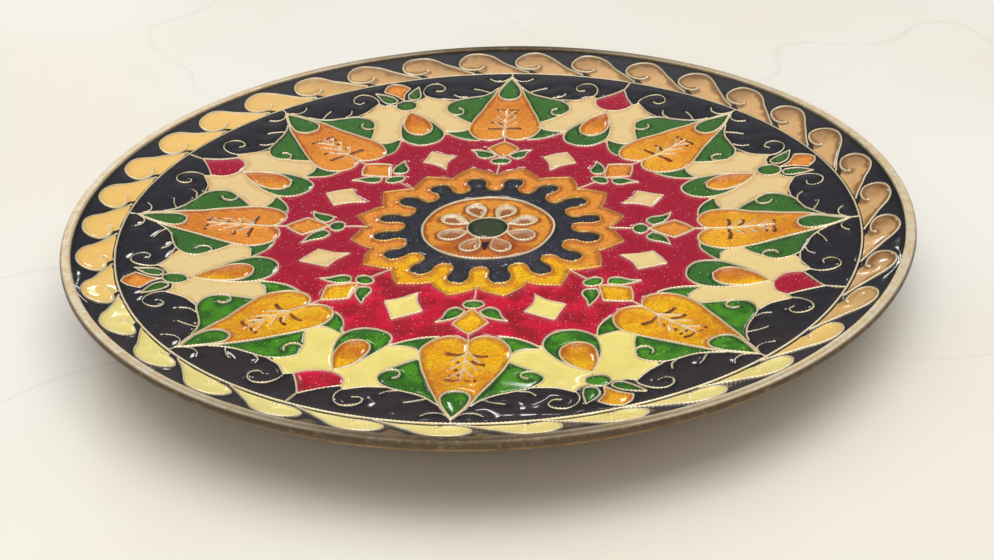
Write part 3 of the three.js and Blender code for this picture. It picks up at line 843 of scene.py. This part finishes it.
def ringBetween(inner, outer, rows, depthOf, repeats):
    # closed ring of enamel from an inner to an outer line: P(s, t) = inner(s) + t * (outer(s) - inner(s)),
    # given for one repeat and turned round the axis for the rest; the underside closes it below
    shares = np.linspace(0, 1, rows)
    plan = (inner + shares[:, None, None] * (outer - inner)).reshape(-1, 2)
    low, gap = depthOf(plan)
    part = len(inner)
    top = np.column_stack([plan, levelAt(np.hypot(*plan.T)) - low]).reshape(rows, part, 3)
    under = underside(top[[-1, 0]], enamel["thickness"] + enamel["ringSink"] * enamel["coverDrop"])
    tile = np.concatenate([top, under])
    gap = np.concatenate([gap.reshape(rows, part), np.zeros((2, part))])
    turns = np.arange(repeats) * 360 / repeats
    grid = np.concatenate([
        np.concatenate([turned(tile.reshape(-1, 3)[:, :2], degrees).reshape(rows + 2, part, 2),
                        tile[..., 2:]], 2)
        for degrees in turns], 1)
    row = np.arange(rows + 2)[:, None] * part * repeats
    points = grid.reshape(-1, 3)
    # the ring's tone is the painted shade of its side of the plate
    return {"points": points, "faces": quads(row, np.roll(row, -1, 0), part * repeats, True),
            "gap": np.tile(gap, repeats).ravel(), "tone": shadeOfSide(np.arctan2(points[:, 0], points[:, 1]))}


def arc(radius, values):
    # points of one repeat of a circle, running clockwise from the first heart's axis
    turn = np.arange(values["columns"] // values["repeats"]) * 2 * math.pi / values["columns"]
    return np.stack([radius * np.sin(turn), radius * np.cos(turn)], 1)


def sheet(values, depthOf):
    # ring of enamel between the two circles of its dictionary
    return ringBetween(arc(values["inner"], values), arc(values["outer"], values), values["rows"], depthOf,
                       values["repeats"])


def cell(outline, values, wires=None, covers=(), centre="centre"):
    # bowl of enamel in its outline; the wires shape its surface, and the covers lie over it
    near = [loop(line) for line in wires or [outline]]
    return bowl(outline, values[centre], pool(near, covers, values), values.get("spacing", enamel["spacing"]))


def numbered(name, count=8):
    return ["%s_%d" % (name, i + 1) for i in range(count)]


# Hearts: amber pools with a fern; its barbs raise the glass, and brown strokes beside them are painted shadow
# of the barbs
heartCell = {"centre": (0, 61), "depth": 0.7, "reach": 0.7, "climb": 0.4, "crown": 0.12,
             "deep": 0.55, "darkeningFrom": 56.0, "darkeningOver": 12.0,        # darker from here up, over so many mm
             # painted shade towards the plate's far side of each heart
             "farShade": {"middle": (0, 68.0), "share": 0.25, "width": 14.0},
             "tones": [0.9, 0.3, 0.25, 0.05, 0.0, 0.1, 1.0, 0.9]}     # painted shade: how far each takes its shaded colour, from +Y clockwise
heartTipCell = {"centre": (0, 79), "depth": 0.5, "reach": 0.5}
heartPool = pool([loop(heart), loop(heartTip), fernStem] + bothSides(fernBarbs), [heartTip], heartCell)
heartEdge = np.concatenate([loop(heart), loop(heartTip)])


def heartDepth(plan):
    # the fern shapes the surface, but the glass only darkens beside the heart's own outline
    return heartPool(plan)[0], np.maximum(distanceTo(plan, heartEdge) - enamel["wireHalf"], 0)


heartShape = bowl(heart, heartCell["centre"], heartDepth)
upHeart = (heartShape["points"][:, 1] - heartCell["darkeningFrom"]) / heartCell["darkeningOver"]
heartShape["deep"] = heartCell["deep"] * smooth(upHeart)
addEnamel("heartEnamel", copies(heartShape, heartAngles, tones=heartCell["tones"], farShade=heartCell["farShade"]),
          "amber",
          numbered("heart"))
addEnamel("heartTipEnamel", copies(cell(heartTip, heartTipCell), heartAngles, 2), "green")

# Green leaves that flank each heart: a large wing with a hook, and a crescent under the lobe
wingCell = {"centre": (10.3, 69.6), "depth": 0.5, "reach": 0.5}
crescentCell = {"centre": (11.3, 53.7), "depth": 0.5, "reach": 0.5}
wingShape = bowl(wing, wingCell["centre"], pool([wingEdge, loop(heart), wingHook], [heart], wingCell))
crescentShape = cell(crescent, crescentCell, [crescent, heart], [heart])
addEnamel("leafEnamel", copies(joined(withMirrored(wingShape) + withMirrored(crescentShape)), heartAngles, 3),
          "green", numbered("heart_leaf"))

# Buds between the hearts, each with an amber seed
budCell = {"centre": (0, 60), "depth": 0.6, "reach": 0.6, "climb": 0.25}
seedCell = {"centre": (0, 62.5), "depth": 1.1, "reach": 0.9, "climb": 0.9,
            # painted shade on the far side of each seed
            "farShade": {"middle": (0, 64.0), "share": 0.9, "width": 3.5},
            "tones": [0.6, 0.3, 0.0, 0.0, 0.0, 0.0, 0.5, 0.6]}
addEnamel("budEnamel", copies(cell(bud, budCell, [bud, seed], [seed]), budAngles, 4), "green",
          numbered("bud"))
addEnamel("seedEnamel", copies(cell(seed, seedCell), budAngles, tones=seedCell["tones"],
                               farShade=seedCell["farShade"]),
          "amber")

# Above the buds, by turns: a crimson fruit, or an amber flower with three green leaves
fruitCell = {"centre": (0, 76.4), "depth": 0.6, "reach": 0.6, "climb": 0.25}
flowerCell = {"centre": (0, 82.8), "depth": 0.6, "reach": 0.6, "climb": 0.3}
flowerLeafCell = {"depth": 0.5, "reach": 0.5, "sideCentre": (3.9, 79.6), "lowCentre": (0, 75.0)}
flowerCells = [lozenge, lowLeaf, sideLeaf, flipped(sideLeaf)]
sideLeaves = withMirrored(cell(sideLeaf, flowerLeafCell, centre="sideCentre"))
lowLeafShape = cell(lowLeaf, flowerLeafCell, centre="lowCentre")
addEnamel("fruitEnamel", copies(cell(fruit, fruitCell), fruitAngles, 6), "crimson", numbered("fruit", 4))
addEnamel("flowerEnamel", copies(cell(lozenge, flowerCell), flowerAngles, 7), "amber", numbered("flower", 4))
addEnamel("flowerLeafEnamel", copies(joined(sideLeaves + [lowLeafShape]), flowerAngles, 8), "green")

# Cream limbs that run from bud to heart
limbCell = {"centre": (-7.2, 69.3), "depth": 0.45, "reach": 0.6}
leftHeart, leftWing, leftCrescent = (turned(line, -pitch / 2) for line in (heart, wing, crescent))


def limbPair(tops, cells):
    wires = [loop(line) for line in [leftHeart, leftWing, leftCrescent, bud] + cells] + [limbTop] + tops
    covers = [bud, leftHeart, leftWing, leftCrescent] + cells
    return joined(withMirrored(bowl(limb, limbCell["centre"], pool(wires, covers, limbCell))))


addEnamel("fruitScrollEnamel", copies(limbPair([], [fruit]), fruitAngles, 9), "cream",
          numbered("fruit_scroll", 4))
addEnamel("flowerScrollEnamel", copies(limbPair([limbShoulder], flowerCells[1:]), flowerAngles, 10), "cream",
          numbered("flower_scroll", 4))

# Stars and tulips on the crimson
starCell = {"centre": (0, 40.8), "depth": 0.5, "reach": 0.6, "climb": 0.2}
tulipCell = {"centre": (0, 44.2), "depth": 0.6, "reach": 0.6, "climb": 0.3}
tulipLeafCell = {"depth": 0.5, "reach": 0.5, "leafCentre": (5.2, 41.2), "footCentre": (0, 36.9)}
tulipCells = [tulipHead, tulipFoot, tulipLeaf, flipped(tulipLeaf)]
tulipLeaves = withMirrored(cell(tulipLeaf, tulipLeafCell, centre="leafCentre"))
tulipFootShape = cell(tulipFoot, tulipLeafCell, centre="footCentre")
addEnamel("starEnamel", copies(cell(star, starCell), budAngles, 11), "cream", numbered("star"))
addEnamel("tulipEnamel", copies(cell(tulipHead, tulipCell), heartAngles, 12), "amber")
addEnamel("tulipLeafEnamel", copies(joined(tulipLeaves + [tulipFootShape]), heartAngles, 13), "green")
print("small cells made")

# Grounds: closed rings of enamel that dive under the cells standing in them. A limb has a wire along its
# top only, so its outline covers the ground and isn't one of the wires.
darkGround = {"inner": 69.5, "outer": dish["borderRadius"], "columns": 1120, "repeats": 4, "rows": 48,
              "depth": 0.45, "reach": 1.3, "climb": 0.3, "uneven": 0.05}
nearHearts = [pitch * i for i in range(-1, 4)]
nearBuds = [degrees + pitch / 2 for degrees in nearHearts]
wellCells = (placed([heart, wing, flipped(wing), crescent, flipped(crescent)], nearHearts)
             + placed([bud, limb, flipped(limb)], nearBuds)
             + placed([fruit], [22.5, 112.5]) + placed(flowerCells, [-22.5, 67.5]))
wellLines = ([loop(line) for line in wellCells if len(line) != len(limb)]
             + placed([limbTop, flipped(limbTop), curl, flipped(curl)], nearBuds)
             + placed(bothSides(whiskers), nearHearts) + [arc(darkGround["outer"], darkGround)])
addEnamel("darkGroundEnamel", sheet(darkGround, pool(wellLines, wellCells, darkGround)), "dark",
          ["dark_ground"])

crimsonGround = {"inner": 27.8, "outer": 59, "columns": 640, "repeats": 8, "rows": 70,
                 "depth": 0.5, "reach": 0.6, "uneven": 0.05, "climb": 0.2}
stems = {"heart": np.array([(0, 86.3), (0, 87.7)]), "fruit": np.array([(0, 83.4), (0, 87.7)]),
         "tulip": np.array([(0, 28.9), (0, 35.0)]), "tulipFoot": np.array([(0, 29.0), (0, 35.0)])}
innerCells = ([scallops] + placed([heart, crescent, flipped(crescent)] + tulipCells, [0, pitch])
              + placed([bud, limb, flipped(limb), star], [-22.5, 22.5, 67.5]))
innerLines = ([loop(line) for line in innerCells if len(line) != len(limb)]
              + placed([fernStem, stems["tulipFoot"]], [0, pitch]))
addEnamel("crimsonEnamel", sheet(crimsonGround, pool(innerLines, innerCells, crimsonGround)), "crimson",
          ["crimson_ground"])


def onePitch(half, count=48):
    # one pitch of the scalloped or knobbed ring, clockwise from a knob's axis, with a set number of
    # points in each half; its end is left to the next pitch
    first = curveThrough(half, 0.3)
    first = evenly(first, np.hypot(*np.diff(first, axis=0).T).sum() / (count // 2))
    second = turned(flipped(first), 360 / scallopCount)
    return np.concatenate([first[:-1], second[:-1]])


# Scalloped amber ring with knobs that reach into the dark ring
amberRing = {"rows": 14, "depth": 0.55, "reach": 0.45, "climb": 0.3, "crown": 0.12}
darkRing = {"inner": 15.8, "outer": 28.2, "columns": 320, "repeats": scallopCount, "rows": 30,
            "depth": 0.5, "reach": 0.6, "uneven": 0.06}
amberPool = pool([loop(scallops), loop(knobs)], [], amberRing)
addEnamel("amberRingEnamel", ringBetween(onePitch(knobHalf), onePitch(scallopHalf), amberRing["rows"],
                                         amberPool,
                                         scallopCount), "amber", ["amber_ring"])
darkPool = pool([loop(knobs), loop(medallionEdge)], [], darkRing)


def underAmber(plan):
    # the dark ring dives under the amber one, outside the knobbed line
    low, gap = darkPool(plan)
    outside = ~insideOf(plan, knobs)
    low[outside] += diving(plan[outside], evenly(loop(knobs), enamel["step"]))
    return low, gap


addEnamel("darkRingEnamel", sheet(darkRing, underAmber), "ringDark", ["dark_ring"])

# Medallion: orange ring with eight scooped petals, a grey-green middle, and one dark chip between two petals
medallion = {"inner": 4.8, "outer": 16.1, "columns": 208, "repeats": 8, "rows": 28,
             "depth": 0.6, "reach": 0.6, "climb": 0.25}
petalCell = {"centre": (0, 9.4), "depth": 1.1, "reach": 0.8, "climb": 0.9, "spacing": 0.4,
             # painted highlight: pale walls in all but the two near ones
             "tones": [0.9, 0.9, 0.7, 0.0, 0.0, 0.75, 1.0, 1.0]}
centreCell = {"centre": (0, 0), "depth": 0.4, "reach": 0.7}
chipCell = {"centre": (0, 8.0), "proud": 0.05, "angle": 180, "spacing": 0.3}
medallionPool = pool([loop(medallionEdge), loop(centreEdge)] + placed([loop(petal)], [-22.5, 22.5, 67.5]),
                     placed([petal], [-22.5, 22.5]), medallion)
addEnamel("medallionEnamel", sheet(medallion, medallionPool), "orange", ["medallion"])
addEnamel("petalEnamel", copies(cell(petal, petalCell), budAngles, tones=petalCell["tones"]), "petal")
addEnamel("centreEnamel", copies(cell(centreEdge, centreCell), [0], 15), "centreGreen", ["centre"])


def chipDepth(plan):
    low, gap = medallionPool(plan)
    return low - chipCell["proud"], gap


chipShape = bowl(chip, chipCell["centre"], chipDepth, chipCell["spacing"])
addEnamel("chipEnamel", copies(chipShape, [chipCell["angle"]], 17), "dark")
print("grounds made")

# Rim band: paisley drops leaning one way on a dark ground. The maker spaced them by eye, in four
# runs of equal steps: (first head, last head, steps), degrees clockwise.
rimBand = {"inner": 88.4, "outer": 96.6,     # mm, where the drops stand
           "runs": [(64.3, 95.0, 3), (95.0, 233.5, 13), (233.5, 313.0, 8), (313.0, 424.3, 11)],
           "sideShading": [(64, 1.0), (112, 0.95), (135, 0.1), (200, 0.0), (232, 0.05), (250, 0.55), (305, 0.62),
                       (340, 0.95), (425, 1.0)]}     # painted shade: how far the drops take their shaded colour at these angles
bandGround = {"inner": dish["borderRadius"], "outer": dish["lipInner"] + 0.1, "columns": 1120, "repeats": 1,
              "rows": 20, "depth": 0.5, "reach": 0.6}
dropCell = {"centre": (0.06, 0.46), "depth": 0.55, "reach": 0.7, "climb": 0.3,
            # painted shade on the far side of each drop
            "farShade": {"middle": (0, 93.0), "share": 0.75, "width": 7.0},
            "farShadeFrom": 0.65, "farShadeOver": 0.3}       # only drops this far in the painted side shade take the painted far-side shade
dropShares = [[(0.12, 0.0), (0.02, 0.13), (-0.1, 0.18), (-0.22, 0.25), (-0.30, 0.40), (-0.31, 0.55),
               (-0.27, 0.74),
               (-0.16, 0.91), (0.0, 0.97), (0.14, 0.93), (0.29, 0.78), (0.43, 0.56), (0.58, 0.37),
               (0.72, 0.21),
               (0.88, 0.04)], [(0.88, 0.04), (0.7, 0.0), (0.4, 0.0), (0.12, 0.0)]]
hookShares = [(0.93, 0.02), (0.72, 0.21), (0.58, 0.37), (0.43, 0.56), (0.29, 0.78), (0.14, 0.93), (0.0, 0.97),
              (-0.16, 0.91), (-0.27, 0.74), (-0.31, 0.55), (-0.29, 0.38), (-0.2, 0.25), (-0.08, 0.19),
              (0.04, 0.21),
              (0.10, 0.28)]


def onBand(shares):
    # shares of one drop's part of the circle and of the band's width to the plan, on the first heart's axis
    across, up = np.array(shares).T
    turn = across * 2 * math.pi / dropCount
    radius = rimBand["inner"] + up * (rimBand["outer"] - rimBand["inner"])
    return np.stack([radius * np.sin(turn), radius * np.cos(turn)], 1)


drop = closed([onBand(stretch) for stretch in dropShares])[::-1]
hook = curveThrough(onBand(hookShares))
dropAngles = np.concatenate([np.linspace(first, last, steps + 1)[:-1] for first, last,
                             steps in rimBand["runs"]])
bandEdges = [circle(dish["borderRadius"]), circle(dish["lipInner"])]
dropShape = bowl(drop, onBand([dropCell["centre"]])[0], pool([hook], [], dropCell))
dropTones = np.interp(dropAngles, *np.array(rimBand["sideShading"]).T)
drops = copies(dropShape, dropAngles, tones=dropTones, farShade=dropCell["farShade"])
drops["deep"] = drops["deep"] * smooth((drops["tone"] - dropCell["farShadeFrom"]) / dropCell["farShadeOver"])
addEnamel("rimDropEnamel", drops, "drop", ["rim_drops"], warp=False)
bandPool = pool(placed([hook], dropAngles) + bandEdges, placed([drop], dropAngles), bandGround)
addEnamel("rimGroundEnamel", sheet(bandGround, bandPool), "dark", ["rim_ground"], warp=False)
print("rim band made")


def ropes(lines, angles, values=wire, seed=0):
    # every copy is laid by hand anew, so each has its own wander; a line comes with whether it is closed
    return joined([rope(turned(line, degrees), isClosed, values, seed + 7 * number + index)
                   for number, degrees in enumerate(angles) for index, (line, isClosed) in enumerate(lines)])


def ringed(*outlines):
    return [(line, True) for line in outlines]


def strung(*lines):
    return [(line, False) for line in lines]


def addWire(name, *parts, metal="wire", nodes=(), warp=True):
    addPiece(name, joined(parts), metals[metal], nodes, warp)


fernWire = {**wire, "width": 0.4, "height": 0.8, "bite": 0.22, "tooth": 0.7}
strokeLine = {**wire, "width": 1.1, "height": 0.5, "bite": 0.0, "wander": 0.25, "lift": -0.36}
medallionRope = {**wire, "width": 0.58, "bite": 0.26, "tooth": 0.8, "wander": 0.05}
borderRope = {**wire, "width": 0.62, "height": 1.05, "tooth": 0.9, "bite": 0.10, "wander": 0.04, "step": 0.24}
# sunk by a share of radius
dropEnd = {"place": (0.11, 0.30), "radius": 0.42, "sunk": 0.4, "rings": 5, "sides": 8}
addWire("heartWire", ropes(ringed(heart, heartTip) + strung(fernStem, stems["heart"]), heartAngles, seed=100))
addWire("fernWire", ropes(strung(*bothSides(fernBarbs)), heartAngles, fernWire, 200))
# the brown strokes, sunk in the glass beside the barbs, are painted shadow of the barbs
addEnamel("fernStrokes", copies(ropes(strung(*bothSides(fernStrokes)), [0], strokeLine, 250), heartAngles,
                                18), "stroke")
addWire("leafWire", ropes(strung(*bothSides([wingEdge, wingHook, crescentTop, crescentFoot])), heartAngles,
                          seed=300))
addWire("budWire", ropes(ringed(bud, seed), budAngles, seed=400))
addWire("scrollWire", ropes(strung(*bothSides([limbTop, curl])), budAngles, seed=500),
        ropes(strung(*bothSides([limbShoulder])), flowerAngles, seed=600),
        ropes(strung(*bothSides(whiskers)), heartAngles, seed=650))
addWire("fruitWire", ropes(ringed(fruit) + strung(stems["fruit"]), fruitAngles, seed=700),
        ropes(ringed(*flowerCells), flowerAngles, seed=750))
addWire("starWire", ropes(ringed(star), budAngles, seed=800))
addWire("tulipWire", ropes(ringed(*tulipCells) + strung(stems["tulip"]), heartAngles, seed=900))
addWire("amberRingWire", ropes(ringed(scallops, knobs), [0], seed=1000), metal="ringWire")
addWire("medallionWire", ropes(ringed(medallionEdge), [0], medallionRope, 1100),
        ropes(ringed(centreEdge), [0], seed=1120), ropes(ringed(petal), budAngles, seed=1150))
addWire("rimWire", ropes(strung(hook), dropAngles, seed=1200),
        copies(bead(onBand([dropEnd["place"]])[0], dropEnd), dropAngles), warp=False)
addWire("borderWire", ropes(ringed(circle(dish["borderRadius"])), [0], borderRope, 1300),
        nodes=["border_wire"],
        warp=False)
print("wires made")

table = {"colour": "#FDFCF8", "second": "#F9F4E8", "cloudSize": 170.0,     # mm
         "size": 4.0, "roughness": 0.5,                                    # m across
         # mm across their bends, share of the noise
         "scratchSize": 220.0, "scratchWidth": 0.002, "scratch": 0.08,
         "scratchColour": "#8C7C60"}
floor = bpy.data.meshes.new("tableTop")
edge = table["size"] / 2
floor.from_pydata([(-edge, -edge, 0), (edge, -edge, 0), (edge, edge, 0), (-edge, edge, 0)], [],
                  [(0, 1, 2, 3)])
floorItem = bpy.data.objects.new("tableTop", floor)
scene.collection.objects.link(floorItem)
paint, tree, place = newMaterial("paintedTable")
cloud = addNode(tree, "TexNoise", {"Vector": place, "Scale": 1000.0 / table["cloudSize"], "Detail": 4.0})
cloud = addNode(tree, "MapRange", [cloud, 0.35, 0.7], **soft)
shade = addNode(tree, "Mix", {0: cloud, 6: linear(table["colour"]), 7: linear(table["second"])}, **blend)
# hairline scratches: where a large slow noise passes through its middle value
slow = addNode(tree, "TexNoise", {"Vector": place, "Scale": 1000.0 / table["scratchSize"], "Detail": 3.0,
                                  "Roughness": 0.4})
crease = addNode(tree, "Math", [addNode(tree, "Math", [slow, 0.5], operation="SUBTRACT"), 0.0],
                 operation="ABSOLUTE")
crease = addNode(tree, "MapRange", [crease, 0.0, table["scratchWidth"], table["scratch"], 0.0], **soft)
shade = addNode(tree, "Mix", {0: crease, 6: shade, 7: linear(table["scratchColour"])}, **blend)
addNode(tree, "OutputMaterial", [addNode(tree, "BsdfPrincipled", {"Base Color": shade,
                                                                  "Roughness": table["roughness"]})])
floor.materials.append(paint)

# brightness at these heights of sky
room = {"colour": "#FCFAF5", "low": 0.20, "high": 0.95, "from": 0.45, "to": 0.95}
world = bpy.data.worlds.new("room")
scene.world = world
world.use_nodes = True
sky = world.node_tree
direction = addNode(sky, "SeparateXYZ", [addNode(sky, "TexCoord", output="Generated")], "Z")
glow = addNode(sky, "MapRange", [direction, room["from"], room["to"], room["low"], room["high"]], **soft)
sky.nodes["Background"].inputs[0].default_value = linear(room["colour"])
sky.links.new(glow, sky.nodes["Background"].inputs[1])

lamps = {
    "overhead": {"place": (0.20, -0.30, 2.20), "size": (2.4, 1.6), "power": 20.0, "colour": "#FFFDF8"},
    "front": {"place": (0.10, -1.90, 1.10), "size": (1.4, 0.9), "power": 8.6, "colour": "#FFFDF8"},
    "window": {"place": (-0.178, 1.88, 0.65), "size": (0.06, 0.08), "power": 0.13, "colour": "#FFFFFF"},
    "leftWindow": {"place": (-0.78, 1.71, 0.70), "size": (0.26, 0.30), "power": 1.6, "colour": "#FFFFFF"},
}
for name, lamp in lamps.items():
    data = bpy.data.lights.new(name, "AREA")
    data.shape, data.size, data.size_y = "RECTANGLE", lamp["size"][0], lamp["size"][1]
    data.energy, data.color = lamp["power"], linear(lamp["colour"])[:3]
    item = bpy.data.objects.new(name, data)
    item.location = lamp["place"]
    item.rotation_euler = (-Vector(lamp["place"])).to_track_quat("-Z", "Y").to_euler()
    scene.collection.objects.link(item)

scene.view_settings.view_transform = "Standard"
